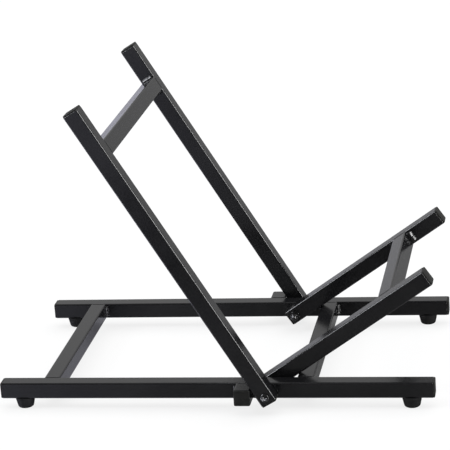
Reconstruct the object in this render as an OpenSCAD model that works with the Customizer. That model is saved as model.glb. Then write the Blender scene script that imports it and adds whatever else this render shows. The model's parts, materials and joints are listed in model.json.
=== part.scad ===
// Folding floor stand with a V cradle, made of square steel tube.
// A base of two rails stands on four rubber feet. A backrest hinges outside the rails and
// leans back on two stop stubs. A shorter support hinges inside the rails on the same bolts
// and rests on the front crossbar. The backrest folds forward and the support folds back,
// until both lie level with the rails.
//
// Origin: on the floor, under the middle of the base. +X points to the open front of the
// cradle, +Y to the stand's left, +Z up.

/* [Tube] */
// Side of the square tube
tube = 20; // [18:1:25]
// Wall of the tube
wall = 1.5; // [1:0.1:2]
// Outside radius along the edges of the tube
corner = 2; // [1.75:0.25:3]

/* [Base] */
// Width over the outer faces of the two rails
base_w = 295; // [240:5:420]
// Pivot to the front end of the rails
front_reach = 200; // [190:1:260]
// Pivot to the rear end of the rails
rear_reach = 331; // [300:1:400]
// Pivot to the middle of the rear crossbar
rear_bar_at = 269; // [255:1:285]
// How far the stop stubs stand out from the rails
stub_out = 25; // [22:1:40]

/* [Backrest] */
// Angle of the backrest above the floor
back_angle = 60; // [50:1:75]
// Pivot to the top of the backrest
back_len = 410.2; // [380:0.1:520]
// Pivot to the middle of the backrest crossbar
back_bar_at = 350; // [300:1:365]

/* [Support] */
// Angle of the support arms above the floor
support_angle = 34.2; // [28:0.1:40]
// Pivot to the tip of the support arms
support_len = 236.6; // [210:0.1:240]
// Pivot to the middle of the support crossbar
support_bar_at = 177; // [120:1:190]
// Room under the support arms for the weld beads on the front crossbar
bead_room = 1.7; // [1:0.1:2]

/* [Pivots] */
// Diameter of the pivot bolts
bolt_d = 6; // [6:1:8]
// Length of the pivot bolts under the head
bolt_len = 75; // [75:1:90]
// Gap between a rail and the tube that swings beside it
side_gap = 1.6; // [1.4:0.1:2.5]
// Radial clearance of the bolt in its holes
running_fit = 0.05; // [0.02:0.01:0.1]
// Tail of a swinging tube beyond its pivot, cap included
tail = 10.7; // [9.5:0.1:11]

/* [End caps] */
// Thickness of a cap's head
cap_head = 3; // [2.5:0.1:4]
// How far the face of a cap domes out
cap_dome = 0.8; // [0.5:0.1:1.2]
// Depth of a cap's plug in the tube
cap_plug = 12; // [8:1:15]

/* [Feet] */
// Height of a rubber foot
foot_h = 13.5; // [12:0.5:20]
// Diameter of a foot where it meets the rail
foot_d = 24.5; // [20:0.1:24.6]
// Rail end to the middle of the foot
foot_inset = 28.5; // [25:0.5:45]
// Angle by which a foot's side leans in
foot_draft = 12; // [3:1:14]

/* [Hidden] */
$fn = 48;
eps = 0.01;

half_tube = tube / 2;
// Gap left where a swinging tube rests on its stop
rest_gap = 1;

// Rails, backrest tubes and support arms, measured sideways from the middle of the stand
rail_mid = base_w / 2 - half_tube;
rail_outer = base_w / 2;
rail_inner = rail_outer - tube;
back_inner = rail_outer + side_gap;
back_mid = back_inner + half_tube;
back_outer = back_inner + tube;
support_outer = rail_inner - side_gap;
support_mid = support_outer - half_tube;
support_inner = support_outer - tube;

// The pivot axis runs along Y through this point
pivot_x = (rear_reach - front_reach) / 2;
pivot_z = foot_h + half_tube;

// A swinging tube lies against the rounded edge of its stop: the middle of that rounding is
// stop_off from the tube's middle line. Its place follows from the tube's angle.
stop_z = half_tube - corner;
stop_off = half_tube + corner + rest_gap;
stub_face = (stop_off + stop_z * cos(back_angle)) / sin(back_angle) - corner;
stub_at = stub_face + half_tube;
bar_off = half_tube + corner + bead_room;
front_bar_face = (bar_off + stop_z * cos(support_angle)) / sin(support_angle) - corner;
front_bar_at = front_bar_face + half_tube;

// Section inside the tube, and the cap that fills its end
bore = tube - 2 * wall;
bore_corner = corner - wall + 0.3;
plug_fit = 0.1;
plug_wall = 1.6;
plug_core = bore - 3.5;
plug_rib = 1;
plug_pitch = 3.5;
tail_plug = 3;
dome_r = (half_tube * half_tube + cap_dome * cap_dome) / (2 * cap_dome);

// Bolt, washers and lock nut
hole_r = bolt_d / 2 + running_fit;
thread_gap = 0.02;
head_d = bolt_d + 4.5;
head_h = 3.2;
head_round = 6.5;
cross_w = 1.2;
cross_l = 5.2;
cross_h = 1.8;
slip = 0.2;
nylon_d = 16;
nylon_t = 1.2;
washer_d = 2 * bolt_d;
washer_t = 1.6;
nut_af = bolt_d + 4;
nut_hex_h = 4.6;
nut_h = 6;
nut_collar_d = 8.8;

// Foot, its screw and its washer
foot_r = foot_d / 2;
foot_round = 3;
recess_r = 4.8;
recess_h = 6;
screw_d = 4.2;
screw_len = 16;
screw_head_d = 8;
screw_head_h = 2.6;
screw_tip_h = 3;
foot_washer_d = 9.2;
foot_washer_t = 1;
screw_fit = 0.05;
// Rear foot, then front foot, along the rails
foot_places = [
    pivot_x - rear_reach + foot_inset,
    pivot_x + front_reach - foot_inset
];

// Weld beads
fillet_r = 4.5;
fillet_len = tube - 2 * corner - 1;
seam_r = 4;
seam_crown = 0.5;
seam_len = tube - 2 * corner;

steel = [0.13, 0.13, 0.14];
plastic = [0.2, 0.2, 0.19];
rubber = [0.08, 0.08, 0.08];
dark_zinc = [0.3, 0.3, 0.3];
bright_zinc = [0.75, 0.76, 0.78];
nylon = [0.16, 0.16, 0.17];

// ---------- places ----------

// The pivot axis lies along Y through the origin of these frames
module at_pivot() {
    translate([pivot_x, 0, pivot_z]) children();
}

// +Z of this frame runs up the backrest tubes, +X out of their front faces
module back_frame() {
    at_pivot() rotate([0, back_angle - 90, 0]) children();
}

// +Z of this frame runs out along the support arms, -X out of their upper faces
module support_frame() {
    at_pivot() rotate([0, 90 - support_angle, 0]) children();
}

// +Z of this frame runs forward along the rails
module rail_frame() {
    at_pivot() rotate([0, 90, 0]) children();
}

// +Z of this frame runs out to the side, along the stub or the bolt
module sideways(side) {
    rotate([-90 * side, 0, 0]) children();
}

// The children on the left, and their mirror image on the right
module each_side() {
    for (flip = [0, 1]) mirror([0, flip, 0]) children();
}

// ---------- square tube ----------

module rounded_square(size, r) {
    square([size, size - 2 * r], center = true);
    square([size - 2 * r, size], center = true);
    for (x = [-1, 1], y = [-1, 1])
        translate([x * (size / 2 - r), y * (size / 2 - r)]) circle(r);
}

module tube_section() {
    difference() {
        rounded_square(tube, corner);
        rounded_square(bore, bore_corner);
    }
}

// Tube along Z from one height to another
module tube_run(from, to) {
    translate([0, 0, from]) linear_extrude(to - from) tube_section();
}

// The same length without its bore
module bar_run(from, to) {
    translate([0, 0, from]) linear_extrude(to - from) rounded_square(tube, corner);
}

// Tube along Y, from one side of the stand to the other
module cross_tube(half) {
    sideways(1) tube_run(-half, half);
}

// Hole for the pivot bolt, through both walls of a tube along Z
module pivot_hole() {
    sideways(1) cylinder(r = hole_r, h = tube + 2, center = true);
}

// ---------- end caps ----------

module cap_shell() {
    intersection() {
        linear_extrude(cap_head) rounded_square(tube, corner);
        translate([0, 0, cap_head - dome_r]) sphere(dome_r, $fn = 96);
    }
}

// Head above z = 0, hollow plug with grip ribs below it
module end_cap(depth) {
    grip = bore - 2 * plug_fit;
    cap_shell();
    difference() {
        union() {
            translate([0, 0, -depth]) linear_extrude(depth + eps)
                rounded_square(plug_core, bore_corner);
            for (z = [1.2 : plug_pitch : depth - plug_rib])
                translate([0, 0, -z - plug_rib]) linear_extrude(plug_rib)
                    rounded_square(grip, bore_corner);
        }
        translate([0, 0, -depth - 1]) linear_extrude(depth)
            rounded_square(plug_core - 2 * plug_wall, bore_corner);
    }
}

// ---------- welds ----------

// Quarter-round bead along Z in the corner between the faces x = 0 and y = 0, on their
// positive sides
module fillet_bead(length) {
    intersection() {
        cylinder(r = fillet_r, h = length, center = true);
        translate([0, 0, -length / 2]) cube([fillet_r, fillet_r, length]);
    }
}

// Low crowned bead along X over the butt seam between a tube along X and the end of a tube
// along Y. The seam is at the origin, and the crown faces +Z.
module seam_bead(length) {
    difference() {
        translate([-length / 2, 0, seam_crown - seam_r]) rotate([0, 90, 0])
            cylinder(r = seam_r, h = length);
        translate([0, half_tube, -half_tube]) rotate([0, 90, 0]) bar_run(-tube, tube);
        translate([0, 0, -half_tube]) sideways(-1) bar_run(0, tube);
        translate([-tube, -tube, -tube - 2]) cube([2 * tube, 2 * tube, tube]);
    }
}

// Beads around the two ends of a crossbar along Y, between tubes along X
module bar_welds(half) {
    each_side() translate([0, half, 0]) {
        for (e = [0, 1]) mirror([e, 0, 0])
            translate([half_tube, 0, 0]) mirror([0, 1, 0]) fillet_bead(fillet_len);
        for (e = [0, 1]) mirror([0, 0, e])
            translate([0, 0, half_tube]) seam_bead(seam_len);
    }
}

// ---------- base ----------

module base_rail(side) {
    color(steel) difference() {
        translate([0, side * rail_mid, 0]) rail_frame()
            tube_run(cap_head - rear_reach, front_reach - cap_head);
        translate([0, side * rail_mid, 0]) at_pivot() pivot_hole();
        for (x = foot_places) translate([x, side * rail_mid, foot_h - 1])
            cylinder(d = screw_d + 2 * screw_fit, h = wall + 2);
    }
}

module left_base_rail() { base_rail(1); }
module right_base_rail() { base_rail(-1); }

module rear_crossbar() {
    color(steel) at_pivot() translate([-rear_bar_at, 0, 0]) cross_tube(rail_inner);
}

module front_crossbar() {
    color(steel) at_pivot() translate([front_bar_at, 0, 0]) cross_tube(rail_inner);
}

module stop_stub(side) {
    color(steel) at_pivot() translate([-stub_at, side * rail_outer, 0])
        sideways(side) tube_run(0, stub_out - cap_head);
}

module left_stop_stub() { stop_stub(1); }
module right_stop_stub() { stop_stub(-1); }

module stub_welds() {
    each_side() translate([-stub_at, rail_outer, 0]) {
        mirror([1, 0, 0]) translate([half_tube, 0, 0]) fillet_bead(fillet_len);
        for (e = [0, 1]) mirror([0, 0, e])
            translate([0, 0, half_tube]) mirror([0, 1, 0]) seam_bead(seam_len);
    }
}

module base_welds() {
    color(steel) at_pivot() {
        translate([-rear_bar_at, 0, 0]) bar_welds(rail_inner);
        translate([front_bar_at, 0, 0]) bar_welds(rail_inner);
        stub_welds();
    }
}

module rail_cap(side, front) {
    reach = front ? front_reach : rear_reach;
    color(plastic) translate([0, side * rail_mid, 0]) at_pivot()
        rotate([0, front ? 90 : -90, 0])
            translate([0, 0, reach - cap_head]) end_cap(cap_plug);
}

module left_rear_rail_cap() { rail_cap(1, false); }
module right_rear_rail_cap() { rail_cap(-1, false); }
module left_front_rail_cap() { rail_cap(1, true); }
module right_front_rail_cap() { rail_cap(-1, true); }

module stub_cap(side) {
    color(plastic) at_pivot() translate([-stub_at, side * rail_outer, 0])
        sideways(side) translate([0, 0, stub_out - cap_head]) end_cap(cap_plug);
}

module left_stub_cap() { stub_cap(1); }
module right_stub_cap() { stub_cap(-1); }

// ---------- feet ----------

// Half outline of a foot: a flat sole, a rounded edge and a side that leans in
module foot_outline() {
    reach = foot_h - foot_round * (1 - sin(foot_draft));
    sole = foot_r - reach * tan(foot_draft) - foot_round * cos(foot_draft);
    polygon([
        [0, 0],
        [sole, 0],
        [sole, foot_round],
        [sole + foot_round * cos(foot_draft), foot_h - reach],
        [foot_r, foot_h],
        [0, foot_h]
    ]);
    translate([sole, foot_round]) circle(foot_round);
}

module foot(side, front) {
    color(rubber) translate([foot_places[front ? 1 : 0], side * rail_mid, 0]) difference() {
        rotate_extrude($fn = 96) foot_outline();
        translate([0, 0, -1]) cylinder(r = recess_r, h = recess_h + 1);
        cylinder(d = screw_d + 2 * screw_fit, h = foot_h + 1);
    }
}

module left_rear_foot() { foot(1, false); }
module right_rear_foot() { foot(-1, false); }
module left_front_foot() { foot(1, true); }
module right_front_foot() { foot(-1, true); }

module at_each_foot() {
    for (x = foot_places, y = [-rail_mid, rail_mid]) translate([x, y, 0]) children();
}

module foot_washers() {
    color(bright_zinc) at_each_foot() translate([0, 0, recess_h - foot_washer_t]) difference() {
        cylinder(d = foot_washer_d, h = foot_washer_t);
        translate([0, 0, -1]) cylinder(d = screw_d + 2 * screw_fit, h = foot_washer_t + 2);
    }
}

// Cross recess, cut down from z = 0
module cross_recess(width, length, depth) {
    for (a = [0, 90]) rotate([0, 0, a]) translate([-length / 2, -width / 2, -depth])
        cube([length, width, depth + 2]);
}

// Pan head above z = 0, with a rounded crown and a cross recess
module pan_head(d, h, crown_r, recess) {
    difference() {
        intersection() {
            cylinder(d = d, h = h);
            translate([0, 0, h - crown_r]) sphere(crown_r, $fn = 96);
        }
        translate([0, 0, h]) cross_recess(recess[0], recess[1], recess[2]);
    }
}

module foot_screws() {
    color(bright_zinc) at_each_foot() translate([0, 0, recess_h - foot_washer_t]) {
        mirror([0, 0, 1]) pan_head(screw_head_d, screw_head_h, 7, [1, 4.6, 1.6]);
        cylinder(d = screw_d, h = screw_len - screw_tip_h);
        translate([0, 0, screw_len - screw_tip_h])
            cylinder(d1 = screw_d, d2 = 0.6, h = screw_tip_h);
    }
}

// ---------- pivots ----------

module pivot_bolt(side) {
    color(dark_zinc) at_pivot() sideways(side) translate([0, 0, back_outer + slip]) {
        pan_head(head_d, head_h, head_round, [cross_w, cross_l, cross_h]);
        translate([0, 0, -bolt_len]) cylinder(d = bolt_d, h = bolt_len);
    }
}

module left_pivot_bolt() { pivot_bolt(1); }
module right_pivot_bolt() { pivot_bolt(-1); }

module washer(d, t) {
    difference() {
        cylinder(d = d, h = t);
        translate([0, 0, -1]) cylinder(r = hole_r, h = t + 2);
    }
}

// Nylon washers against both faces of each rail
module nylon_washers() {
    color(nylon) at_pivot() for (side = [-1, 1]) sideways(side) {
        translate([0, 0, rail_outer]) washer(nylon_d, nylon_t);
        translate([0, 0, rail_inner - nylon_t]) washer(nylon_d, nylon_t);
    }
}

module nut_washers() {
    color(dark_zinc) at_pivot() for (side = [-1, 1]) sideways(side)
        translate([0, 0, support_inner - slip - washer_t]) washer(washer_d, washer_t);
}

// Hexagon with a chamfered rim, and the round collar that holds the locking ring
module lock_nut(side) {
    across = nut_af / cos(30);
    color(dark_zinc) at_pivot() sideways(side)
        translate([0, 0, support_inner - slip - washer_t]) mirror([0, 0, 1]) difference() {
            union() {
                intersection() {
                    cylinder(d = across, h = nut_hex_h, $fn = 6);
                    translate([0, 0, -across / 2]) cylinder(d1 = 0, d2 = 2 * across, h = across);
                    cylinder(d1 = 2 * across, d2 = nut_af * 0.96, h = nut_hex_h);
                }
                cylinder(d = nut_collar_d, h = nut_h);
            }
            translate([0, 0, -1]) cylinder(d = bolt_d + 2 * thread_gap, h = nut_h + 2);
        }
}

module left_lock_nut() { lock_nut(1); }
module right_lock_nut() { lock_nut(-1); }

// ---------- backrest ----------

module backrest_tube(side) {
    color(steel) back_frame() translate([0, side * back_mid, 0]) difference() {
        tube_run(cap_head - tail, back_len - cap_head);
        pivot_hole();
    }
}

module left_backrest_tube() { backrest_tube(1); }
module right_backrest_tube() { backrest_tube(-1); }

module backrest_crossbar() {
    color(steel) back_frame() translate([0, 0, back_bar_at]) cross_tube(back_inner);
}

module backrest_welds() {
    color(steel) back_frame() translate([0, 0, back_bar_at]) rotate([0, 90, 0])
        bar_welds(back_inner);
}

module backrest_top_cap(side) {
    color(plastic) back_frame() translate([0, side * back_mid, back_len - cap_head])
        end_cap(cap_plug);
}

module backrest_tail_cap(side) {
    color(plastic) back_frame() translate([0, side * back_mid, cap_head - tail])
        mirror([0, 0, 1]) end_cap(tail_plug);
}

module left_backrest_top_cap() { backrest_top_cap(1); }
module right_backrest_top_cap() { backrest_top_cap(-1); }
module left_backrest_tail_cap() { backrest_tail_cap(1); }
module right_backrest_tail_cap() { backrest_tail_cap(-1); }

// ---------- support ----------

module support_arm(side) {
    color(steel) support_frame() translate([0, side * support_mid, 0]) difference() {
        tube_run(cap_head - tail, support_len - cap_head);
        pivot_hole();
    }
}

module left_support_arm() { support_arm(1); }
module right_support_arm() { support_arm(-1); }

module support_crossbar() {
    color(steel) support_frame() translate([0, 0, support_bar_at]) cross_tube(support_inner);
}

module support_welds() {
    color(steel) support_frame() translate([0, 0, support_bar_at]) rotate([0, 90, 0])
        bar_welds(support_inner);
}

module support_tip_cap(side) {
    color(plastic) support_frame() translate([0, side * support_mid, support_len - cap_head])
        end_cap(cap_plug);
}

module support_tail_cap(side) {
    color(plastic) support_frame() translate([0, side * support_mid, cap_head - tail])
        mirror([0, 0, 1]) end_cap(tail_plug);
}

module left_support_tip_cap() { support_tip_cap(1); }
module right_support_tip_cap() { support_tip_cap(-1); }
module left_support_tail_cap() { support_tail_cap(1); }
module right_support_tail_cap() { support_tail_cap(-1); }

left_base_rail();
right_base_rail();
rear_crossbar();
front_crossbar();
left_stop_stub();
right_stop_stub();
base_welds();
left_rear_rail_cap();
right_rear_rail_cap();
left_front_rail_cap();
right_front_rail_cap();
left_stub_cap();
right_stub_cap();
left_rear_foot();
right_rear_foot();
left_front_foot();
right_front_foot();
foot_washers();
foot_screws();
left_pivot_bolt();
right_pivot_bolt();
left_lock_nut();
right_lock_nut();
nylon_washers();
nut_washers();
left_backrest_tube();
right_backrest_tube();
backrest_crossbar();
backrest_welds();
left_backrest_top_cap();
right_backrest_top_cap();
left_backrest_tail_cap();
right_backrest_tail_cap();
left_support_arm();
right_support_arm();
support_crossbar();
support_welds();
left_support_tip_cap();
right_support_tip_cap();
left_support_tail_cap();
right_support_tail_cap();
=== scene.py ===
"""Looks of the folding floor stand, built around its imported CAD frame.

The tubes are the CAD's own nodes with a powder coat, and get rounded rims at their ends. The moulded
caps, rubber feet, fasteners and weld beads are replaced by finer meshes made here, each in the place of
its CAD node.
"""

import json
import math

import bmesh
import bpy
from mathutils import Matrix, Vector


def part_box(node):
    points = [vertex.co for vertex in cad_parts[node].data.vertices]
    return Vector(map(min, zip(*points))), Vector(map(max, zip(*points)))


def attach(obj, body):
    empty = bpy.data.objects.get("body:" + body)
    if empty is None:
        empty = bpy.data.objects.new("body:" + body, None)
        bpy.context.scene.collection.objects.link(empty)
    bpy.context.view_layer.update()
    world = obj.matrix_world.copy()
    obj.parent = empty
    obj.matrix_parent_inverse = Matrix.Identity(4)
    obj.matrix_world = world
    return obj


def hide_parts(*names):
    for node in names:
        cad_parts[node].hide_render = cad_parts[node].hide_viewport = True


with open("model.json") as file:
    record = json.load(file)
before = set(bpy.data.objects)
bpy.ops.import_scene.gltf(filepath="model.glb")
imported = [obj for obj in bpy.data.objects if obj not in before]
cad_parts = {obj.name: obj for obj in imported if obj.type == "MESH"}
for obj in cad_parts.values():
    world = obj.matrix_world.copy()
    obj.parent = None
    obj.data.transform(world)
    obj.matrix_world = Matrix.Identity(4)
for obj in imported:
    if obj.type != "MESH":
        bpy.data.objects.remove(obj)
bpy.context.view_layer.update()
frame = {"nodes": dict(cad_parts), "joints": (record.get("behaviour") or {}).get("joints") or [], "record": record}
NODES = frame["nodes"]
RECORD = frame["record"]
MM = 0.001

# ---------- the frame's own directions and sizes ----------

X, Y, Z = Vector((1, 0, 0)), Vector((0, 1, 0)), Vector((0, 0, 1))
PIVOT = Vector(frame["joints"][0]["pos_m"])
MOUNT_AXIS = {m["name"]: Vector(m["axis"]).normalized() for m in RECORD["mounts"]}
# Out of the backrest's front faces, and up along its tubes
BACK_FRONT = MOUNT_AXIS["left_backrest_front"]
BACK_UP = Vector((-BACK_FRONT.z, 0, BACK_FRONT.x))
# Out of the support arms' upper faces, and outwards along the arms
SUPPORT_TOP = MOUNT_AXIS["left_support_top"]
SUPPORT_OUT = Vector((SUPPORT_TOP.z, 0, -SUPPORT_TOP.x))


def span(node, axis):
    """Lowest and highest reach of a CAD node along an axis."""
    reach = [v.co.dot(axis) for v in NODES[node].data.vertices]
    return min(reach), max(reach)


def middle(node, axis):
    low, high = span(node, axis)
    return (low + high) / 2


def extent(node, axis):
    low, high = span(node, axis)
    return high - low


# Side of the square tube, and the outside radius along its edges
TUBE = extent("left_base_rail", Z)
HALF = TUBE / 2
CORNER = 2 * MM


def frame_of(origin, x, y, z):
    """Matrix of a local frame from its origin and its three directions."""
    return Matrix((
        (x.x, y.x, z.x, origin.x),
        (x.y, y.y, z.y, origin.y),
        (x.z, y.z, z.z, origin.z),
        (0, 0, 0, 1),
    ))


def place(origin, along, up):
    """Matrix of a local frame: +Z runs along, +X faces up."""
    z = along.normalized()
    x = (up - z * up.dot(z)).normalized()
    return frame_of(origin, x, z.cross(x), z)


# ---------- camera ----------

# Fitted to the photo. Yaw turns the view from +Y towards +X, and pitch tips it down.
CAMERA_FROM_PIVOT = Vector((0.3812, -2.3619, 0.9344))
CAMERA_YAW, CAMERA_PITCH, CAMERA_ROLL = (math.radians(a) for a in (-10.68, 17.84, -4.24))
CAMERA_LENS_MM = 162.46
CAMERA_SENSOR_MM = 36
CAMERA_NEAR = 0.05
CAMERA_FAR = 200


def make_camera():
    data = bpy.data.cameras.new("camera")
    data.lens = CAMERA_LENS_MM
    data.sensor_width = CAMERA_SENSOR_MM
    data.clip_start = CAMERA_NEAR
    data.clip_end = CAMERA_FAR
    camera = bpy.data.objects.new("camera", data)
    bpy.context.scene.collection.objects.link(camera)
    level = math.cos(CAMERA_PITCH)
    sine, cosine = math.sin(CAMERA_YAW), math.cos(CAMERA_YAW)
    ahead = Vector((sine * level, cosine * level, -math.sin(CAMERA_PITCH)))
    right = Vector((cosine, -sine, 0))
    roll = Matrix.Rotation(CAMERA_ROLL, 4, -ahead)
    camera.matrix_world = place(PIVOT + CAMERA_FROM_PIVOT, -ahead, roll @ right)
    bpy.context.scene.camera = camera


# ---------- stage ----------

FLOOR_SIZE = 60
FLOOR_Z = -0.0002
# The floor's colour for light that bounces off it and for the camera, and how it glows to the camera
FLOOR_BOUNCE = (0.86, 0.86, 0.86)
FLOOR_SEEN = (0.1, 0.1, 0.1)
FLOOR_GLOW = 0.8
FLOOR_ROUGHNESS = 0.4

# The table in the object's gloss: its painted light, paler on the left where more light falls than on the right,
# where along X one turns into the other, and how much of a mirror it is on each side
TABLE_LIT_LEFT = (0.56, 0.56, 0.66)
TABLE_RIGHT = (0.5, 0.5, 0.5)
TABLE_TURN = (-0.36, 0.12)
TABLE_POLISH = (0.68, 0.93)

# The table's painted shadow patch: its edge is slanted, so it is measured along x * SHADE_X - y * SHADE_Y
SHADE_X = 0.92
SHADE_Y = 0.4
SHADE_EDGE = (0.05, 0.12)
SHADE_FADE = (0.15, 0.42)
SHADE_FADE_DEPTHS = (0.85, 0.5)
SHADE_NEAR_END = (-1.45, -1.0)
SHADE_FAR_END = (-0.62, -0.4)


def make_floor(material):
    half = FLOOR_SIZE / 2
    mesh = bpy.data.meshes.new("floor")
    corners = [(x * half, y * half, FLOOR_Z) for x, y in ((-1, -1), (1, -1), (1, 1), (-1, 1))]
    mesh.from_pydata(corners, [], [(0, 1, 2, 3)])
    floor = bpy.data.objects.new("floor", mesh)
    bpy.context.scene.collection.objects.link(floor)
    mesh.materials.append(material)


def floor_material():
    """White paper to the camera. In the object's gloss it is a polished table, with painted light that makes it
    paler on the left and a painted shadow on a patch in front of the object.
    """
    material, tree, shader = new_material("floor_paper")
    shader.inputs["Roughness"].default_value = FLOOR_ROUGHNESS
    shader.inputs["Specular IOR Level"].default_value = 0
    place_in = tree.nodes.new("ShaderNodeTexCoord")
    split = tree.nodes.new("ShaderNodeSeparateXYZ")
    tree.links.new(place_in.outputs["Object"], split.inputs[0])
    x, y = split.outputs["X"], split.outputs["Y"]
    # Painted light: the table seen in the gloss is paler on the left
    side = map_range(tree, x, *TABLE_TURN, smooth=True)
    table = mix_colour(tree, side, TABLE_LIT_LEFT, TABLE_RIGHT)
    # Painted shadow: a dim patch on the table in front of the object, seen in the gloss
    table = mix_colour(tree, stand_shade(tree, x, y), table, (0, 0, 0))
    polish = map_range(tree, side, 0, 1, *TABLE_POLISH)
    rays = tree.nodes.new("ShaderNodeLightPath")
    gloss, camera = rays.outputs["Is Glossy Ray"], rays.outputs["Is Camera Ray"]
    paper = mix_colour(tree, camera, FLOOR_BOUNCE, FLOOR_SEEN)
    tree.links.new(mix_colour(tree, gloss, paper, table), shader.inputs["Base Color"])
    tree.links.new(math_node(tree, "MULTIPLY", gloss, polish), shader.inputs["Metallic"])
    shader.inputs["Emission Color"].default_value = (1, 1, 1, 1)
    tree.links.new(math_node(tree, "MULTIPLY", camera, FLOOR_GLOW), shader.inputs["Emission Strength"])
    return material


def stand_shade(tree, x, y):
    """Painted shadow on a patch of the table in front of the object, seen in the gloss: how dim it is, 0 is not at
    all.
    """
    along_x = math_node(tree, "MULTIPLY", x, SHADE_X)
    along_y = math_node(tree, "MULTIPLY", y, SHADE_Y)
    slant = math_node(tree, "SUBTRACT", along_x, along_y)
    shade = map_range(tree, slant, *SHADE_EDGE, smooth=True)
    for value, edges, ends in (
        (slant, SHADE_FADE, SHADE_FADE_DEPTHS),
        (y, SHADE_NEAR_END, (0, 1)),
        (y, SHADE_FAR_END, (1, 0)),
    ):
        shade = math_node(tree, "MULTIPLY", shade, map_range(tree, value, *edges, *ends, smooth=True))
    return shade


COOL_WHITE = (0.92, 0.94, 1)


def soft_light(name, azimuth, elevation, strength, spread, colour=(1, 1, 1), mirrored=True):
    """A studio light far away. Angles in degrees: azimuth 0 is behind the object (+Y), 90 at +X.

    spread is how wide it looks from the object. One that isn't mirrored doesn't show in the gloss.
    """
    data = bpy.data.lights.new(name, "SUN")
    data.energy = strength
    data.angle = math.radians(spread)
    data.color = colour
    light = bpy.data.objects.new(name, data)
    a, e = math.radians(azimuth), math.radians(elevation)
    towards = Vector((math.sin(a) * math.cos(e), math.cos(a) * math.cos(e), math.sin(e)))
    light.rotation_euler = towards.to_track_quat("Z", "Y").to_euler()
    light.visible_glossy = mirrored
    bpy.context.scene.collection.objects.link(light)


def make_lights():
    soft_light("overhead", azimuth=20, elevation=74, strength=5.0, spread=90, mirrored=False)
    soft_light("right", azimuth=106, elevation=19, strength=1.9, spread=20)
    soft_light("left", azimuth=-105, elevation=37, strength=1.7, spread=20, colour=COOL_WHITE)


# The studio round the object: how bright it is in each direction, and between which values of that
# direction's X, Y or Z it changes
WORLD_FRONT = 0.1
WORLD_SIDES = 0.36
WORLD_FRONT_EDGE = (-0.85, -0.4)
WORLD_BACK_EDGE = (0.65, 0.9)
WORLD_LEFT = 0.58
WORLD_RIGHT = 0.5
WORLD_SIDE_EDGE = (-0.4, 0.35)
WORLD_LOW_DIMMING = 0.78
WORLD_LOW_EDGE = (0, 0.35)


def make_world():
    """Pale studio, white to the camera. In the object's gloss it is bright behind and dim in front."""
    world = bpy.data.worlds.new("studio")
    bpy.context.scene.world = world
    world.use_nodes = True
    tree = world.node_tree
    tree.nodes.clear()
    out = tree.nodes.new("ShaderNodeOutputWorld")
    ground = tree.nodes.new("ShaderNodeBackground")
    tree.links.new(ground.outputs[0], out.inputs["Surface"])
    way = tree.nodes.new("ShaderNodeTexCoord")
    split = tree.nodes.new("ShaderNodeSeparateXYZ")
    tree.links.new(way.outputs["Generated"], split.inputs[0])
    x, y, z = (split.outputs[axis] for axis in "XYZ")
    back = map_range(tree, y, *WORLD_BACK_EDGE, smooth=True)
    side = map_range(tree, x, *WORLD_SIDE_EDGE, WORLD_LEFT, WORLD_RIGHT, smooth=True)
    low = map_range(tree, z, *WORLD_LOW_EDGE, WORLD_LOW_DIMMING, 1, smooth=True)
    front = map_range(tree, y, *WORLD_FRONT_EDGE, WORLD_FRONT, WORLD_SIDES, smooth=True)
    glow = mix_value(tree, back, front, math_node(tree, "MULTIPLY", side, low))
    rays = tree.nodes.new("ShaderNodeLightPath")
    seen = mix_value(tree, rays.outputs["Is Camera Ray"], glow, 1.0)
    tree.links.new(seen, ground.inputs["Color"])


# ---------- node helpers ----------

def new_material(name):
    material = bpy.data.materials.new(name)
    material.use_nodes = True
    tree = material.node_tree
    tree.nodes.clear()
    out = tree.nodes.new("ShaderNodeOutputMaterial")
    shader = tree.nodes.new("ShaderNodeBsdfPrincipled")
    tree.links.new(shader.outputs[0], out.inputs["Surface"])
    return material, tree, shader


def feed(tree, socket, value):
    if isinstance(value, (int, float)):
        socket.default_value = value
    else:
        tree.links.new(value, socket)


def map_range(tree, value, from_low, from_high, to_low=0, to_high=1, smooth=False):
    node = tree.nodes.new("ShaderNodeMapRange")
    node.interpolation_type = "SMOOTHSTEP" if smooth else "LINEAR"
    feed(tree, node.inputs["Value"], value)
    limits = (from_low, from_high, to_low, to_high)
    for socket, limit in zip(("From Min", "From Max", "To Min", "To Max"), limits):
        node.inputs[socket].default_value = limit
    return node.outputs["Result"]


def math_node(tree, operation, a, b):
    node = tree.nodes.new("ShaderNodeMath")
    node.operation = operation
    feed(tree, node.inputs[0], a)
    feed(tree, node.inputs[1], b)
    return node.outputs[0]


def mix_value(tree, factor, a, b):
    node = tree.nodes.new("ShaderNodeMix")
    node.data_type = "FLOAT"
    feed(tree, node.inputs[0], factor)
    feed(tree, node.inputs[2], a)
    feed(tree, node.inputs[3], b)
    return node.outputs[0]


def mix_colour(tree, factor, a, b):
    node = tree.nodes.new("ShaderNodeMix")
    node.data_type = "RGBA"
    feed(tree, node.inputs[0], factor)
    for socket, colour in ((node.inputs[6], a), (node.inputs[7], b)):
        if isinstance(colour, tuple):
            socket.default_value = (*colour, 1)
        else:
            tree.links.new(colour, socket)
    return node.outputs[2]


def object_place(tree):
    return tree.nodes.new("ShaderNodeTexCoord").outputs["Object"]


def noise(tree, where, per_metre, detail=2.0, roughness=0.5):
    """Noise with about per_metre blobs in a metre."""
    node = tree.nodes.new("ShaderNodeTexNoise")
    tree.links.new(where, node.inputs["Vector"])
    node.inputs["Scale"].default_value = per_metre
    node.inputs["Detail"].default_value = detail
    node.inputs["Roughness"].default_value = roughness
    return node.outputs["Fac"]


def bump(tree, shader, height, strength, distance, below=None):
    node = tree.nodes.new("ShaderNodeBump")
    node.inputs["Strength"].default_value = strength
    node.inputs["Distance"].default_value = distance
    tree.links.new(height, node.inputs["Height"])
    if below is not None:
        tree.links.new(below, node.inputs["Normal"])
    tree.links.new(node.outputs[0], shader.inputs["Normal"])
    return node.outputs[0]


# ---------- materials ----------

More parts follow.
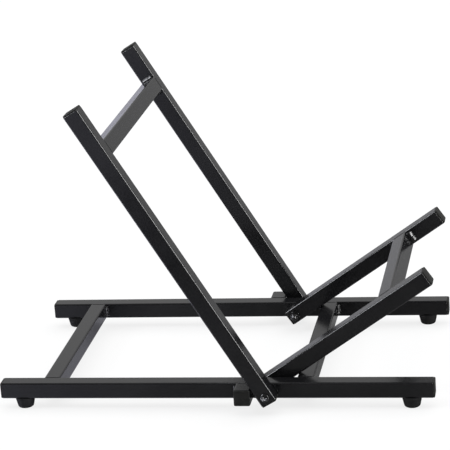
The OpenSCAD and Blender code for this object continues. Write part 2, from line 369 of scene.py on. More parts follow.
# Stretches of a noise's values: the middle ones, most of them, the peaks that make dust specks on the
# coat, and the high ones that make dust on the rubber, with the strength of each dust
NOISE_CORE = (0.35, 0.65)
NOISE_SPAN = (0.3, 0.7)
SPECK_NOISE = (0.82, 0.9)
SPECK_STRENGTH = 0.2
DUST_NOISE = (0.45, 0.75)
DUST_STRENGTH = 0.6

# Dark and pale tone of each material
COAT_TONES = ((0.004, 0.004, 0.0045), (0.006, 0.006, 0.0065))
COAT_SPECK = (0.05, 0.05, 0.05)
CAP_TONES = ((0.0065, 0.0065, 0.006), (0.011, 0.011, 0.01))
RUBBER_TONES = ((0.005, 0.005, 0.0055), (0.011, 0.0107, 0.0103))
NYLON_TONES = ((0.012, 0.012, 0.013), (0.024, 0.024, 0.026))
BLACK_ZINC_TONES = ((0.08, 0.08, 0.085), (0.14, 0.14, 0.14))
ZINC_TONES = ((0.5, 0.51, 0.54), (0.66, 0.66, 0.65))

# Lowest and highest roughness of each material
COAT_ROUGHNESS = (0.17, 0.21)
COAT_PEEL_ROUGHNESS = (-0.02, 0.02)
PLASTIC_ROUGHNESS = (0.4, 0.52)
RUBBER_ROUGHNESS = (0.55, 0.75)
BLACK_ZINC_ROUGHNESS = (0.18, 0.3)
ZINC_ROUGHNESS = (0.2, 0.34)


def powder_coat():
    """Satin black powder coat: faint clouding, an orange peel, a fine grain and the odd dust speck."""
    material, tree, shader = new_material("black_powder_coat")
    where = object_place(tree)
    cloud = noise(tree, where, per_metre=22, detail=3)
    peel = noise(tree, where, per_metre=420, detail=2)
    grain = noise(tree, where, per_metre=2600, detail=1)
    tone = mix_colour(tree, map_range(tree, cloud, *NOISE_CORE), *COAT_TONES)
    dust = noise(tree, where, per_metre=1500, detail=0)
    specks = map_range(tree, dust, *SPECK_NOISE, to_high=SPECK_STRENGTH)
    tone = mix_colour(tree, specks, tone, COAT_SPECK)
    tree.links.new(tone, shader.inputs["Base Color"])
    rough = map_range(tree, cloud, *NOISE_SPAN, *COAT_ROUGHNESS)
    rough = math_node(tree, "ADD", rough, map_range(tree, peel, *NOISE_SPAN, *COAT_PEEL_ROUGHNESS))
    tree.links.new(rough, shader.inputs["Roughness"])
    shader.inputs["Specular IOR Level"].default_value = 0.5
    coarse = bump(tree, shader, peel, strength=0.2, distance=0.03 * MM)
    bump(tree, shader, grain, strength=0.08, distance=0.01 * MM, below=coarse)
    return material


def cap_plastic():
    """Moulded black plastic with a fine spark texture and a slight bloom."""
    material, tree, shader = new_material("black_cap_plastic")
    where = object_place(tree)
    bloom = noise(tree, where, per_metre=140, detail=3)
    spark = noise(tree, where, per_metre=2600, detail=2)
    tone = mix_colour(tree, map_range(tree, bloom, *NOISE_SPAN), *CAP_TONES)
    tree.links.new(tone, shader.inputs["Base Color"])
    tree.links.new(map_range(tree, spark, *NOISE_SPAN, *PLASTIC_ROUGHNESS), shader.inputs["Roughness"])
    shader.inputs["Specular IOR Level"].default_value = 0.2
    bump(tree, shader, spark, strength=0.4, distance=0.03 * MM)
    return material


def foot_rubber():
    """Matt black rubber with a little dust in its pores."""
    material, tree, shader = new_material("black_rubber")
    where = object_place(tree)
    patch = noise(tree, where, per_metre=180, detail=4)
    pores = noise(tree, where, per_metre=3200, detail=2)
    dust = map_range(tree, patch, *DUST_NOISE, to_high=DUST_STRENGTH)
    tree.links.new(mix_colour(tree, dust, *RUBBER_TONES), shader.inputs["Base Color"])
    tree.links.new(map_range(tree, pores, *NOISE_SPAN, *RUBBER_ROUGHNESS), shader.inputs["Roughness"])
    shader.inputs["Specular IOR Level"].default_value = 0.25
    bump(tree, shader, pores, strength=0.5, distance=0.04 * MM)
    return material


def plated_steel(name, tones, roughness):
    """Zinc-plated steel: grain of the forging, patchy passivation."""
    material, tree, shader = new_material(name)
    where = object_place(tree)
    patch = noise(tree, where, per_metre=420, detail=3)
    grain = noise(tree, where, per_metre=5200, detail=2)
    tone = mix_colour(tree, map_range(tree, patch, *NOISE_SPAN), *tones)
    tree.links.new(tone, shader.inputs["Base Color"])
    shader.inputs["Metallic"].default_value = 1.0
    tree.links.new(map_range(tree, patch, *NOISE_SPAN, *roughness), shader.inputs["Roughness"])
    bump(tree, shader, grain, strength=0.35, distance=0.01 * MM)
    return material


def nylon():
    """Moulded black nylon, a little cloudy."""
    material, tree, shader = new_material("black_nylon")
    where = object_place(tree)
    cloud = noise(tree, where, per_metre=300, detail=3)
    tree.links.new(mix_colour(tree, cloud, *NYLON_TONES), shader.inputs["Base Color"])
    tree.links.new(map_range(tree, cloud, *NOISE_SPAN, *PLASTIC_ROUGHNESS), shader.inputs["Roughness"])
    grain = noise(tree, where, per_metre=2400, detail=2)
    bump(tree, shader, grain, strength=0.3, distance=0.02 * MM)
    return material


MATERIALS = {
    "black_powder_coat": powder_coat(),
    "black_cap_plastic": cap_plastic(),
    "black_rubber": foot_rubber(),
    "black_zinc_steel": plated_steel("black_zinc_steel", BLACK_ZINC_TONES, BLACK_ZINC_ROUGHNESS),
    "black_nylon": nylon(),
    "zinc_steel": plated_steel("zinc_steel", ZINC_TONES, ZINC_ROUGHNESS),
}


def finish_cad_nodes():
    """Every CAD node that stays in view gets its slot's material."""
    for part in RECORD["subparts"]:
        mesh = NODES[part["node"]].data
        mesh.materials.clear()
        mesh.materials.append(MATERIALS[part["material_slot"]])


# ---------- mesh helpers ----------

def arc(x, z, r, start, end, steps):
    """Points (x, z) of an arc, from one angle to another, in degrees."""
    angles = [math.radians(start + (end - start) * i / steps) for i in range(steps + 1)]
    return [(x + r * math.cos(a), z + r * math.sin(a)) for a in angles]


def skin(rings, closed=False):
    """Vertices and faces through rings of points. One point is a pole, and open ends get a flat face."""
    vertices, faces, starts = [], [], []
    for ring in rings:
        starts.append(len(vertices))
        vertices.extend(ring)
    pairs = list(zip(range(len(rings)), range(1, len(rings))))
    if closed:
        pairs.append((len(rings) - 1, 0))
    for a, b in pairs:
        na, nb = len(rings[a]), len(rings[b])
        for i in range(max(na, nb)):
            j = (i + 1) % max(na, nb)
            lower = [starts[a] + (i if na > 1 else 0), starts[a] + (j if na > 1 else 0)]
            upper = [starts[b] + (j if nb > 1 else 0), starts[b] + (i if nb > 1 else 0)]
            faces.append(list(dict.fromkeys(lower + upper)))
    if not closed:
        if len(rings[0]) > 1:
            faces.append([starts[0] + i for i in reversed(range(len(rings[0])))])
        if len(rings[-1]) > 1:
            faces.append([starts[-1] + i for i in range(len(rings[-1]))])
    return vertices, faces


# Points closer than this are one point
SAME_POINT = 1e-7


def circle(r, z, steps):
    if r < SAME_POINT:
        return [(0, 0, z)]
    turn = 2 * math.pi / steps
    return [(r * math.cos(i * turn), r * math.sin(i * turn), z) for i in range(steps)]


def lathe(profile, steps=64, closed=False):
    """Skin turned from (radius, height) points, from the bottom up."""
    return skin([circle(r, z, steps) for r, z in profile], closed)


def rounded_square(half, r, z, steps=6):
    """Ring round a square with rounded corners."""
    ring = []
    for quarter in range(4):
        a = quarter * 90
        cx, cy = Matrix.Rotation(math.radians(a), 2) @ Vector((half - r, half - r))
        ring += [(x, y, z) for x, y in arc(cx, cy, r, a, a + 90, steps)]
    return ring


def merge(*skins):
    """Several closed skins as one mesh."""
    vertices, faces = [], []
    for points, polygons in skins:
        base = len(vertices)
        vertices.extend(points)
        faces.extend([[base + i for i in polygon] for polygon in polygons])
    return vertices, faces


def moved(shape, matrix):
    points, faces = shape
    return [tuple(matrix @ Vector(p)) for p in points], faces


def mesh_of(name, shape):
    mesh = bpy.data.meshes.new(name)
    mesh.from_pydata(shape[0], [], shape[1])
    mesh.validate()
    mesh.update()
    return mesh


def add_piece(name, shape, body, slot, replaced=None, sharp_angle=32):
    """A finished piece, smooth but for edges over sharp_angle, riding on its body for its CAD node."""
    mesh = mesh_of(name, shape)
    work = bmesh.new()
    work.from_mesh(mesh)
    bmesh.ops.remove_doubles(work, verts=work.verts, dist=SAME_POINT)
    bmesh.ops.recalc_face_normals(work, faces=work.faces)
    work.to_mesh(mesh)
    work.free()
    mesh.shade_smooth()
    mesh.set_sharp_from_angle(angle=math.radians(sharp_angle))
    mesh.materials.append(MATERIALS[slot])
    piece = bpy.data.objects.new(name, mesh)
    bpy.context.scene.collection.objects.link(piece)
    if replaced:
        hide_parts(replaced)
    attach(piece, body)
    return piece


# ---------- moulded end caps ----------

# The cap's head: height, how much of it is the domed face, and the rounding between its face and sides
CAP_HEAD = 3 * MM
CAP_DOME = 0.8 * MM
CAP_EDGE = 0.95 * MM
# How much of that rounding lies below the dome, and its turn in degrees
CAP_EDGE_RISE = 0.72
CAP_EDGE_TURN = (12, 78)
# How far the head's sides lie inside the tube's faces, and the groove under the head
CAP_INSET = 0.32 * MM
CAP_GROOVE = 0.12 * MM
CAP_GROOVE_TOP = CAP_INSET * 0.8
CAP_GROOVE_EASE = 0.1 * MM
# The plug in the tube: half its width, its corners, and its depth in an open tube or beside a pivot
CAP_PLUG = 8.4 * MM
CAP_PLUG_CORNER = 0.8 * MM
PLUG_DEPTH = 11 * MM
TAIL_PLUG_DEPTH = 2.6 * MM
# Clear of the tube's cut end by this much
SEAT = 0.01 * MM
# The head's corners tighten as its edge turns in: by how much, and down to what radius
CAP_CORNER_PULL = 0.4
CAP_CORNER_LEAST = 0.6 * MM
# Rings on the domed face, by their distance from the tube's faces in mm
CAP_FACE_RINGS = (1.5, 2, 2.8, 4, 5.7, 7.5, 9)


def cap_shape(depth):
    """Cap head above z = 0: sides a little inside the tube's faces, a rounded edge and a domed face."""
    dome_r = (HALF ** 2 + CAP_DOME ** 2) / (2 * CAP_DOME)
    side_top = CAP_HEAD - CAP_DOME - CAP_EDGE * CAP_EDGE_RISE
    half = HALF - CAP_INSET
    corner = CORNER - CAP_INSET
    rings = [
        rounded_square(CAP_PLUG, CAP_PLUG_CORNER, -depth),
        rounded_square(CAP_PLUG, CAP_PLUG_CORNER, SEAT),
        rounded_square(half - CAP_GROOVE, corner, SEAT),
        rounded_square(half - CAP_GROOVE, corner, CAP_GROOVE_TOP),
        rounded_square(half, corner, CAP_GROOVE_TOP + CAP_GROOVE_EASE),
        rounded_square(half, corner, side_top),
    ]
    for x, z in arc(half - CAP_EDGE, side_top, CAP_EDGE, *CAP_EDGE_TURN, 5):
        tighter = (half - x) * CAP_CORNER_PULL
        rings.append(rounded_square(x, max(corner - tighter, CAP_CORNER_LEAST), z))
    for inset in CAP_FACE_RINGS:
        flat = HALF - inset * MM
        ring = rounded_square(flat, min(CORNER * 0.9, flat * 0.6), 0)
        rings.append([(x, y, CAP_HEAD - (x * x + y * y) / (2 * dome_r)) for x, y, _ in ring])
    rings.append([(0, 0, CAP_HEAD)])
    return skin(rings)


# The rounded edge of a tube's cut end: its radius, and the part of its quarter turn, in degrees
RIM = 0.5 * MM
RIM_TURN = (22, 68)
# How deep the rim's mesh goes into the tube, and how far inside the tube's faces its sides are there
RIM_DEPTH = 0.5 * MM
RIM_INNER = 1 * MM
RIM_OUTER = 0.03 * MM
# How far the rim reaches in under the cap's head
RIM_LAP = 0.2 * MM


def rim_shape():
    """Broken edge of a coated tube's cut end, just above z = 0, standing proud of the cap's sides."""
    start = math.radians(RIM_TURN[0])
    rings = [
        rounded_square(HALF - RIM_INNER, CORNER - RIM_INNER, -RIM_DEPTH),
        rounded_square(HALF - RIM_OUTER, CORNER, -RIM_DEPTH),
    ]
    for x, z in arc(HALF - RIM * math.cos(start), -RIM * math.sin(start), RIM, *RIM_TURN, 6):
        rings.append(rounded_square(x, CORNER + x - HALF, z))
    top = rings[-1][0][2]
    rings.append(rounded_square(HALF - CAP_INSET - RIM_LAP, CORNER - CAP_INSET - RIM_LAP, top))
    return skin(rings, closed=True)


def make_cap(node, body, outwards, up, depth):
    """Adds the cap that closes a tube's end, and gives the shape of the end's own rounded rim."""
    end = span(node, outwards)[1]
    side = outwards.cross(up)
    face = outwards * (end - CAP_HEAD) + up * middle(node, up) + side * middle(node, side)
    at = place(face, outwards, up)
    add_piece(node + "_moulding", moved(cap_shape(depth), at), body, "black_cap_plastic", node)
    return moved(rim_shape(), at)


def make_caps():
    rims = {"base": [], "backrest": [], "support": []}
    for side, way in (("left", Y), ("right", -Y)):
        for body, name, outwards, up, depth in (
            ("base", "rear_rail_cap", -X, Z, PLUG_DEPTH),
            ("base", "front_rail_cap", X, Z, PLUG_DEPTH),
            ("base", "stub_cap", way, Z, PLUG_DEPTH),
            ("backrest", "backrest_top_cap", BACK_UP, BACK_FRONT, PLUG_DEPTH),
            ("backrest", "backrest_tail_cap", -BACK_UP, BACK_FRONT, TAIL_PLUG_DEPTH),
            ("support", "support_tip_cap", SUPPORT_OUT, SUPPORT_TOP, PLUG_DEPTH),
            ("support", "support_tail_cap", -SUPPORT_OUT, SUPPORT_TOP, TAIL_PLUG_DEPTH),
        ):
            rims[body].append(make_cap(f"{side}_{name}", body, outwards, up, depth))
    for body, shapes in rims.items():
        add_piece(f"{body}_tube_rims", merge(*shapes), body, "black_powder_coat")


# ---------- rubber feet and their screws ----------

FEET = [f"{side}_{end}_foot" for end in ("rear", "front") for side in ("left", "right")]
# A foot's side leans in by the draft, and ends in a round lower edge and a small round lip under the rail
FOOT_DRAFT = math.radians(12)
FOOT_ROUND = 3 * MM
FOOT_LIP = 0.5 * MM
# The recess for the screw, with its rounding and the softening of its mouth
SOLE_RECESS_R = 4.8 * MM
SOLE_RECESS_H = 6 * MM
SOLE_RECESS_ROUND = 0.4 * MM
SOLE_RECESS_MOUTH = 0.12 * MM
SCREW_HOLE_R = 2.15 * MM
# Rings that keep the shading of the sole and of the top face flat: how far inside the edge they are
SOLE_RING = 0.2 * MM
FOOT_TOP_RING = 3 * MM


def foot_shape(radius, height):
    """A foot turned from its outline, from the recess in its sole out and up to the rail."""
    reach = height - FOOT_ROUND * (1 - math.sin(FOOT_DRAFT))
    sole = radius - reach * math.tan(FOOT_DRAFT) - FOOT_ROUND * math.cos(FOOT_DRAFT)
    soft = SOLE_RECESS_ROUND
    outline = [(SCREW_HOLE_R, SOLE_RECESS_H), (SOLE_RECESS_R - soft, SOLE_RECESS_H)]
    outline += arc(SOLE_RECESS_R - soft, SOLE_RECESS_H - soft, soft, 90, 0, 4)
    outline += [
        (SOLE_RECESS_R, soft),
        (SOLE_RECESS_R + SOLE_RECESS_MOUTH, SOLE_RECESS_MOUTH),
        (SOLE_RECESS_R + soft, 0),
        (sole - SOLE_RING, 0),
    ]
    outline += arc(sole, FOOT_ROUND, FOOT_ROUND, -90, -math.degrees(FOOT_DRAFT), 12)
    rim = arc(radius - FOOT_LIP, height - FOOT_LIP, FOOT_LIP, -math.degrees(FOOT_DRAFT), 90, 6)
    steps = 6
    (low_x, low_z), (high_x, high_z) = outline[-1], rim[0]
    for i in range(1, steps):
        outline.append((low_x + (high_x - low_x) * i / steps, low_z + (high_z - low_z) * i / steps))
    outline += rim
    outline += [(radius - FOOT_TOP_RING, height), (SCREW_HOLE_R, height)]
    return lathe(outline, steps=96, closed=True)


def sole_centre(node):
    low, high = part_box(node)
    return Vector(((low.x + high.x) / 2, (low.y + high.y) / 2, low.z))


def make_feet():
    for node in FEET:
        shape = foot_shape(extent(node, X) / 2, extent(node, Z))
        at = Matrix.Translation(sole_centre(node))
        add_piece(node + "_rubber", moved(shape, at), "base", "black_rubber", node)


# ---------- fasteners ----------

# The bolt's thread, how far outside the nut's inner face it starts, the bolt's head, and the length,
# width and depth of the recess
BOLT_D = 6 * MM
BOLT_PITCH = 1 * MM
BOLT_THREAD_OUT = 7 * MM
BOLT_HEAD_H = 3.2 * MM
BOLT_CROWN_R = 9 * MM
BOLT_RECESS = (5.4 * MM, 1.1 * MM, 2 * MM)
# Which way one arm of the bolt's recess points, and one flat of the nut
BOLT_TURN = X + Z * 0.5
NUT_TURN = Z + X * 0.35
NUT_HEX_H = 4.6 * MM
NUT_BORE_R = 3.02 * MM
WASHER_HOLE_R = 3.1 * MM
FOOT_WASHER_R = 4.6 * MM
SCREW_D = 4.2 * MM
SCREW_PITCH = 1.4 * MM
SCREW_HEAD_D = 8 * MM
SCREW_HEAD_H = 2.6 * MM
SCREW_CROWN_R = 7 * MM
SCREW_RECESS = (4.6 * MM, 1 * MM, 1.6 * MM)
# Depth of a thread, in pitches, its steps per pitch, and the chamfer at a shank's end
THREAD_DEPTH = 0.61
THREAD_STEPS = 10
SHANK_CHAMFER = 0.9 * MM
# Rounding under a pan head, and at its rim in head diameters
PAN_FOOT = 0.12 * MM
PAN_RIM = 0.085
# A cross recess: how much its rim is eased, and the lower ends of its taper, as shares of its length,
# width and depth
RECESS_EASE = 0.12 * MM
RECESS_TAPER = ((0.5, 0.6, 1), (0.72, 0.7, 0.86))
# The nut's turned chamfer: where it starts, in half widths across flats, and its angle in degrees
NUT_CHAMFER = 0.96
NUT_CHAMFER_ANGLE = 30
# The nut's collar: its radius as a share of the chamfer's, how much of its height is round, and the
# outline of its mouth down to the nylon ring, as steps out from the bore and down from the top
NUT_COLLAR = 0.92
NUT_COLLAR_ROUND = 0.75
NUT_MOUTH = ((0.7 * MM, 0), (0.55 * MM, 0.15 * MM), (0.5 * MM, 0.5 * MM), (0, 0.5 * MM))
WASHER_EASE = 0.25 * MM


def cut(shape, cutter):
    """shape with cutter taken out of it."""
    block = bpy.data.objects.new("cut_block", mesh_of("cut_block", shape))
    tool = bpy.data.objects.new("cut_tool", mesh_of("cut_tool", cutter))
    for made in (block, tool):
        bpy.context.scene.collection.objects.link(made)
    modifier = block.modifiers.new("cut", "BOOLEAN")
    modifier.operation = "DIFFERENCE"
    modifier.solver = "EXACT"
    modifier.object = tool
    bpy.context.view_layer.update()
    result = bpy.data.meshes.new_from_object(block.evaluated_get(bpy.context.evaluated_depsgraph_get()))
    points = [tuple(v.co) for v in result.vertices]
    faces = [list(p.vertices) for p in result.polygons]
    for made in (block, tool):
        bpy.data.objects.remove(made)
    return points, faces


def cross_cutter(length, width, depth, top, crown_r):
    """Tapered cross of a screwdriver recess in a crown that peaks at top, its rim eased at 45 degrees."""
    def ring(long, wide, z):
        a, b = long / 2, wide / 2
        return [
            (a, -b, z), (a, b, z), (b, b, z), (b, a, z), (-b, a, z), (-b, b, z),
            (-a, b, z), (-a, -b, z), (-b, -b, z), (-b, -a, z), (b, -a, z), (b, -b, z),
        ]
    eased = (length / 2) ** 2 / (2 * crown_r) + RECESS_EASE
    above = eased + RECESS_EASE
    rings = [ring(length * long, width * wide, top - depth * deep) for long, wide, deep in RECESS_TAPER]
    rings.append(ring(length, width, top - eased))
    rings.append(ring(length + 2 * above, width + 2 * above, top - eased + above))
    return skin(rings)


def pan_head_shape(d, h, crown_r, recess):
    """Pan head above z = 0, with rounded rims and a cross recess."""
    r = d / 2
    rim_edge = d * PAN_RIM
    turn = math.acos((r - rim_edge) / (crown_r - rim_edge))
    rim_z = h - crown_r + (crown_r - rim_edge) * math.sin(turn)
    outline = [(0, 0), (r - PAN_FOOT, 0)]
    outline += arc(r - PAN_FOOT, PAN_FOOT, PAN_FOOT, -90, 0, 3)[1:]
    outline += arc(r - rim_edge, rim_z, rim_edge, 0, math.degrees(turn), 8)
    outline += arc(0, h - crown_r, crown_r, math.degrees(turn), 90, 14)[1:-1]
    outline += [(0, h)]
    return cut(lathe(outline, steps=72), cross_cutter(*recess, h, crown_r))


def thread_shape(d, length, pitch, turns_from, steps=40):
    """Shank from z = 0 down to -length, threaded from -turns_from on, with a chamfered end."""
    depth = THREAD_DEPTH * pitch
    rows = [(0, False), (-turns_from, False)]
    count = int((length - turns_from) / pitch * THREAD_STEPS)
    rows += [(-turns_from - (length - turns_from) * i / count, True) for i in range(1, count + 1)]
    rings = []
    for z, threaded in rows:
        ring = []
        for i in range(steps):
            a = 2 * math.pi * i / steps
            r = d / 2
            if threaded:
                turn = (z / pitch + i / steps) % 1
                r -= depth * (1 - abs(2 * turn - 1))
                r = min(r, d / 2 - SHANK_CHAMFER + max(0, z + length))
            ring.append((r * math.cos(a), r * math.sin(a), z))
        rings.append(ring)
    return skin(list(reversed(rings)))


def make_bolts():
    for side, way in (("left", Y), ("right", -Y)):
        node = f"{side}_pivot_bolt"
        inner, outer = span(node, way)
        nut_inner = span(f"{side}_lock_nut", way)[0]
        under = outer - BOLT_HEAD_H
        plain = under - nut_inner - BOLT_THREAD_OUT
        shape = merge(
            pan_head_shape(extent(node, X), BOLT_HEAD_H, BOLT_CROWN_R, BOLT_RECESS),
            thread_shape(BOLT_D, under - inner, BOLT_PITCH, plain),
        )
        turned = place(Vector((PIVOT.x, under * way.y, PIVOT.z)), way, BOLT_TURN.normalized())
        add_piece(f"{node}_turned", moved(shape, turned), "base", "black_zinc_steel", node)


def nut_shape(across_flats, hex_h, full_h, bore_r, steps=96):
    """Hexagon with turned chamfers on both faces, and the rolled collar of a lock nut."""
    flat = across_flats / 2
    chamfer_r = flat * NUT_CHAMFER
    slope = math.tan(math.radians(NUT_CHAMFER_ANGLE))

    def hex_r(a):
        return flat / math.cos((a + math.pi / 6) % (math.pi / 3) - math.pi / 6)

    def ring(radius, height):
        points = []
        for i in range(steps):
            a = 2 * math.pi * i / steps
            r = radius(a)
            points.append((r * math.cos(a), r * math.sin(a), height(r)))
        return points

    rings = [
        ring(lambda a: bore_r, lambda r: 0),
        ring(lambda a: chamfer_r, lambda r: 0),
        ring(hex_r, lambda r: max(0, r - chamfer_r) * slope),
        ring(hex_r, lambda r: hex_h - max(0, r - chamfer_r) * slope),
        ring(lambda a: chamfer_r, lambda r: hex_h),
    ]
    collar = full_h - hex_h
    collar_r = chamfer_r * NUT_COLLAR
    rings.append(ring(lambda a: collar_r, lambda r: hex_h))
    rounding = NUT_COLLAR_ROUND * collar
    outline = arc(collar_r - rounding, hex_h + (1 - NUT_COLLAR_ROUND) * collar, rounding, 0, 90, 8)
    outline += [(bore_r + out, full_h - down) for out, down in NUT_MOUTH]
    for x, z in outline:
        rings.append(ring(lambda a, x=x: x, lambda r, z=z: z))
    return skin(rings, closed=True)


def make_nuts():
    for side, way in (("left", Y), ("right", -Y)):
        node = f"{side}_lock_nut"
        low, high = span(node, way)
        shape = nut_shape(extent(node, Z), NUT_HEX_H, high - low, NUT_BORE_R)
        turned = place(Vector((PIVOT.x, high * way.y, PIVOT.z)), -way, NUT_TURN.normalized())
        add_piece(f"{node}_turned", moved(shape, turned), "base", "black_zinc_steel", node)


def washer_shape(outer, inner, thick):
    """Stamped washer with its rims eased."""
    edge = min(WASHER_EASE, thick / 4)
    outline = [(inner + edge, 0), (outer - edge, 0)]
    outline += arc(outer - edge, edge, edge, -90, 0, 3)[1:]
    outline += arc(outer - edge, thick - edge, edge, 0, 90, 3)
    outline += [(inner + edge, thick), (inner, thick - edge), (inner, edge)]
    return lathe(outline, steps=72, closed=True)


def make_washers():
    """Nylon washers beside the rails, and steel washers under the lock nuts."""
    rail_low, rail_high = span("left_base_rail", Y)
    nylon_r = extent("nylon_washers", X) / 2
    nylon_t = span("nylon_washers", Y)[1] - rail_high
    steel_r = extent("nut_washers", X) / 2
    steel_top = span("nut_washers", Y)[1]
    steel_t = steel_top - span("left_lock_nut", Y)[1]
    nylons, steels = [], []
    for way in (Y, -Y):
        for start in (rail_high, rail_low - nylon_t):
            at = place(Vector((PIVOT.x, start * way.y, PIVOT.z)), way, Z)
            nylons.append(moved(washer_shape(nylon_r, WASHER_HOLE_R, nylon_t), at))
        at = place(Vector((PIVOT.x, (steel_top - steel_t) * way.y, PIVOT.z)), way, Z)
        steels.append(moved(washer_shape(steel_r, WASHER_HOLE_R, steel_t), at))
    add_piece("nylon_washers_moulded", merge(*nylons), "base", "black_nylon", "nylon_washers")
    add_piece("nut_washers_stamped", merge(*steels), "base", "black_zinc_steel", "nut_washers")


def make_foot_fasteners():
    """The washer and the screw up in each foot's recess."""
    washer_low, washer_high = span("foot_washers", Z)
    thick = washer_high - washer_low
    screw_length = span("foot_screws", Z)[1] - washer_low
    screws, washers = [], []
    for node in FEET:
        centre = sole_centre(node)
        under = Vector((centre.x, centre.y, washer_low))
        washers.append(moved(washer_shape(FOOT_WASHER_R, SCREW_HOLE_R, thick), Matrix.Translation(under)))
        screw = merge(
            pan_head_shape(SCREW_HEAD_D, SCREW_HEAD_H, SCREW_CROWN_R, SCREW_RECESS),
            thread_shape(SCREW_D, screw_length, SCREW_PITCH, thick),
        )
        screws.append(moved(screw, place(under, -Z, X)))
    add_piece("foot_washers_stamped", merge(*washers), "base", "zinc_steel", "foot_washers")
    add_piece("foot_screws_turned", merge(*screws), "base", "zinc_steel", "foot_screws")


# ---------- weld beads ----------

# Length of one ripple, steps along it, and steps across a bead
RIPPLE = 4.2 * MM
RIPPLE_STEPS = 14
BEAD_STEPS = 14
# A bead's seed shifts its ripples, in ripples, and its slow unevenness, in radians
RIPPLE_SHIFT = 0.37
SLOW_SHIFT = 1.7
# A bead's size between ripples, how much a ripple adds, and its slow and quick unevenness along X
SWELL = 0.95
RIPPLE_RISE = 0.03
SLOW_SWELL = 0.016
SLOW_PER_METRE = 640
QUICK_SWELL = 0.005
QUICK_PER_METRE = 1500
# How far a ripple's edges lag behind its middle, and how much that wanders, in ripples
RIPPLE_BOW = 0.3
RIPPLE_WANDER = 0.1
WANDER_PER_METRE = 700
# How much of a bead is left at its very ends, and how late it narrows towards them: higher is later
END_LEFT = 0.1
END_POWER = 10
# How deep the back of a bead goes into the tubes, and its visible face's edges
BURIED = 0.2 * MM
SUNK = BURIED * 0.6
FILLET_HEIGHT = 3.9 * MM
FILLET_BULGE = 0.16 * MM
# The beads in the corners: leg along the side tube, and how much of it is the toe at 45 degrees
BASE_FILLET = (3.9 * MM, 0.6 * MM)
STUB_FILLET = (4.4 * MM, 2 * MM)
BACKREST_FILLET = (4.2 * MM, 0.2 * MM)
SUPPORT_FILLET = (7 * MM, 3.3 * MM)
# The lengths of the beads in the corners and over the flush seams
FILLET_LENGTH = TUBE - 2 * CORNER - 1 * MM
SEAM_LENGTH = TUBE - 2 * CORNER
SEAM_HALF = 1.95 * MM
SEAM_CROWN = 0.5 * MM
# Only sharper edges than this stay sharp on a bead, in degrees
BEAD_SHARP = 50


def bead(section, length, seed=0):
    """Weld bead along X. section(u, swell) gives (y, z) at u from 0 to 1 across its visible face.

    section(None, end) gives the buried points behind that face.
    """
    count = int(length / RIPPLE * RIPPLE_STEPS)
    rings = []
    for i in range(count + 1):
        s = i / count
        x = (s - 0.5) * length
        end = min(1, math.sqrt(max(0, 1 - (abs(2 * s - 1)) ** END_POWER)) + END_LEFT)
        ring = []
        for k in range(BEAD_STEPS + 1):
            u = k / BEAD_STEPS
            lag = RIPPLE_BOW * (2 * u - 1) ** 2 + RIPPLE_WANDER * math.sin(seed + WANDER_PER_METRE * x)
            wave = (x / RIPPLE + lag + seed * RIPPLE_SHIFT) % 1
            slow = SLOW_SWELL * math.sin(seed * SLOW_SHIFT + SLOW_PER_METRE * x)
            quick = QUICK_SWELL * math.sin(seed + QUICK_PER_METRE * x + 3 * u)
            swell = end * (SWELL + RIPPLE_RISE * math.sin(math.pi * wave) + (slow + quick))
            ring.append((x, *section(u, swell)))
        ring += [(x, *point) for point in section(None, end)]
        rings.append(ring)
    return skin(rings)


def fillet(leg, slope, height):
    """Bead in the corner between faces y = 0 and z = 0: 45 degrees over its toe, then a round back."""
    def section(u, swell):
        if u is None:
            return [(-BURIED, height * 0.7), (-BURIED, -BURIED), (leg * 0.7, -BURIED)]
        if u < 0.5:
            bulge = FILLET_BULGE * (1 - (4 * u - 1) ** 2)
            y, z = leg - 2 * u * slope + bulge, 2 * u * slope + bulge
        else:
            y, z = (leg - slope) * 2 * (1 - u), slope + (height - slope) * (1 - (2 - 2 * u) ** 2)
        return y * swell - SUNK, z * swell - SUNK
    return section


def seam_section(u, swell):
    """Low bead over the seam at y = 0 in the plane z = 0. The tube at +y has a rounded edge there."""
    if u is None:
        return [(-SEAM_HALF, -BURIED * 2), (0, -CORNER * 1.02), (SEAM_HALF * 1.1, -BURIED * 2)]
    y = SEAM_HALF * (1.1 - 2.1 * u)
    lift = 1 - (2 * u - 1) ** 2
    return y, SEAM_CROWN * lift * (swell * 1.6 - 0.6) - SUNK * (1 - lift)


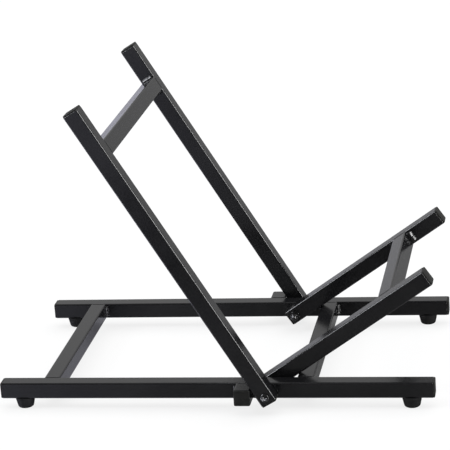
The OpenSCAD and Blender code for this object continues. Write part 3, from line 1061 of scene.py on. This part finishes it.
def bar_beads(bar, along, up, leg, slope, seed):
    """Beads round both ends of a crossbar: along is the side tubes' way, up a normal that both share."""
    section = fillet(leg, slope, FILLET_HEIGHT)
    half_width = span(bar, Y)[1]
    centre = along * middle(bar, along) + up * middle(bar, up)
    shapes = []
    for way in (1, -1):
        outwards = Y * way
        corner = centre + outwards * half_width
        for face in (1, -1):
            across = along * face
            at = frame_of(corner + across * HALF, across.cross(-outwards), across, -outwards)
            shapes.append(moved(bead(section, FILLET_LENGTH, seed + way + 3 * face), at))
            normal = up * face
            at = frame_of(corner + normal * HALF, outwards.cross(normal), outwards, normal)
            shapes.append(moved(bead(seam_section, SEAM_LENGTH, seed + 2 * way + face), at))
    return shapes


def stub_beads():
    """Beads round the stop stubs: one in the corner behind each stub, and one above and below it."""
    section = fillet(*STUB_FILLET, FILLET_HEIGHT)
    shapes = []
    for side, way in (("left", 1), ("right", -1)):
        node = f"{side}_stop_stub"
        outwards = Y * way
        face = outwards * span(node, outwards)[0]
        centre = X * middle(node, X) + Z * middle(node, Z) + face
        at = frame_of(centre - X * HALF, (-X).cross(outwards), -X, outwards)
        shapes.append(moved(bead(section, FILLET_LENGTH), at))
        for normal in (Z, -Z):
            at = frame_of(centre + normal * HALF, (-outwards).cross(normal), -outwards, normal)
            shapes.append(moved(bead(seam_section, SEAM_LENGTH), at))
    return shapes


def make_welds():
    base = bar_beads("rear_crossbar", X, Z, *BASE_FILLET, seed=1)
    base += bar_beads("front_crossbar", X, Z, *BASE_FILLET, seed=2)
    base += stub_beads()
    backrest = bar_beads("backrest_crossbar", BACK_UP, BACK_FRONT, *BACKREST_FILLET, seed=5)
    support = bar_beads("support_crossbar", SUPPORT_OUT, SUPPORT_TOP, *SUPPORT_FILLET, seed=7)
    for body, beads in (("base", base), ("backrest", backrest), ("support", support)):
        name, replaced = f"{body}_weld_beads", f"{body}_welds"
        add_piece(name, merge(*beads), body, "black_powder_coat", replaced, BEAD_SHARP)


# ---------- the scene ----------

bpy.context.scene.view_settings.view_transform = "Standard"
make_camera()
make_floor(floor_material())
make_lights()
make_world()
finish_cad_nodes()
make_caps()
make_feet()
make_bolts()
make_nuts()
make_washers()
make_foot_fasteners()
make_welds()
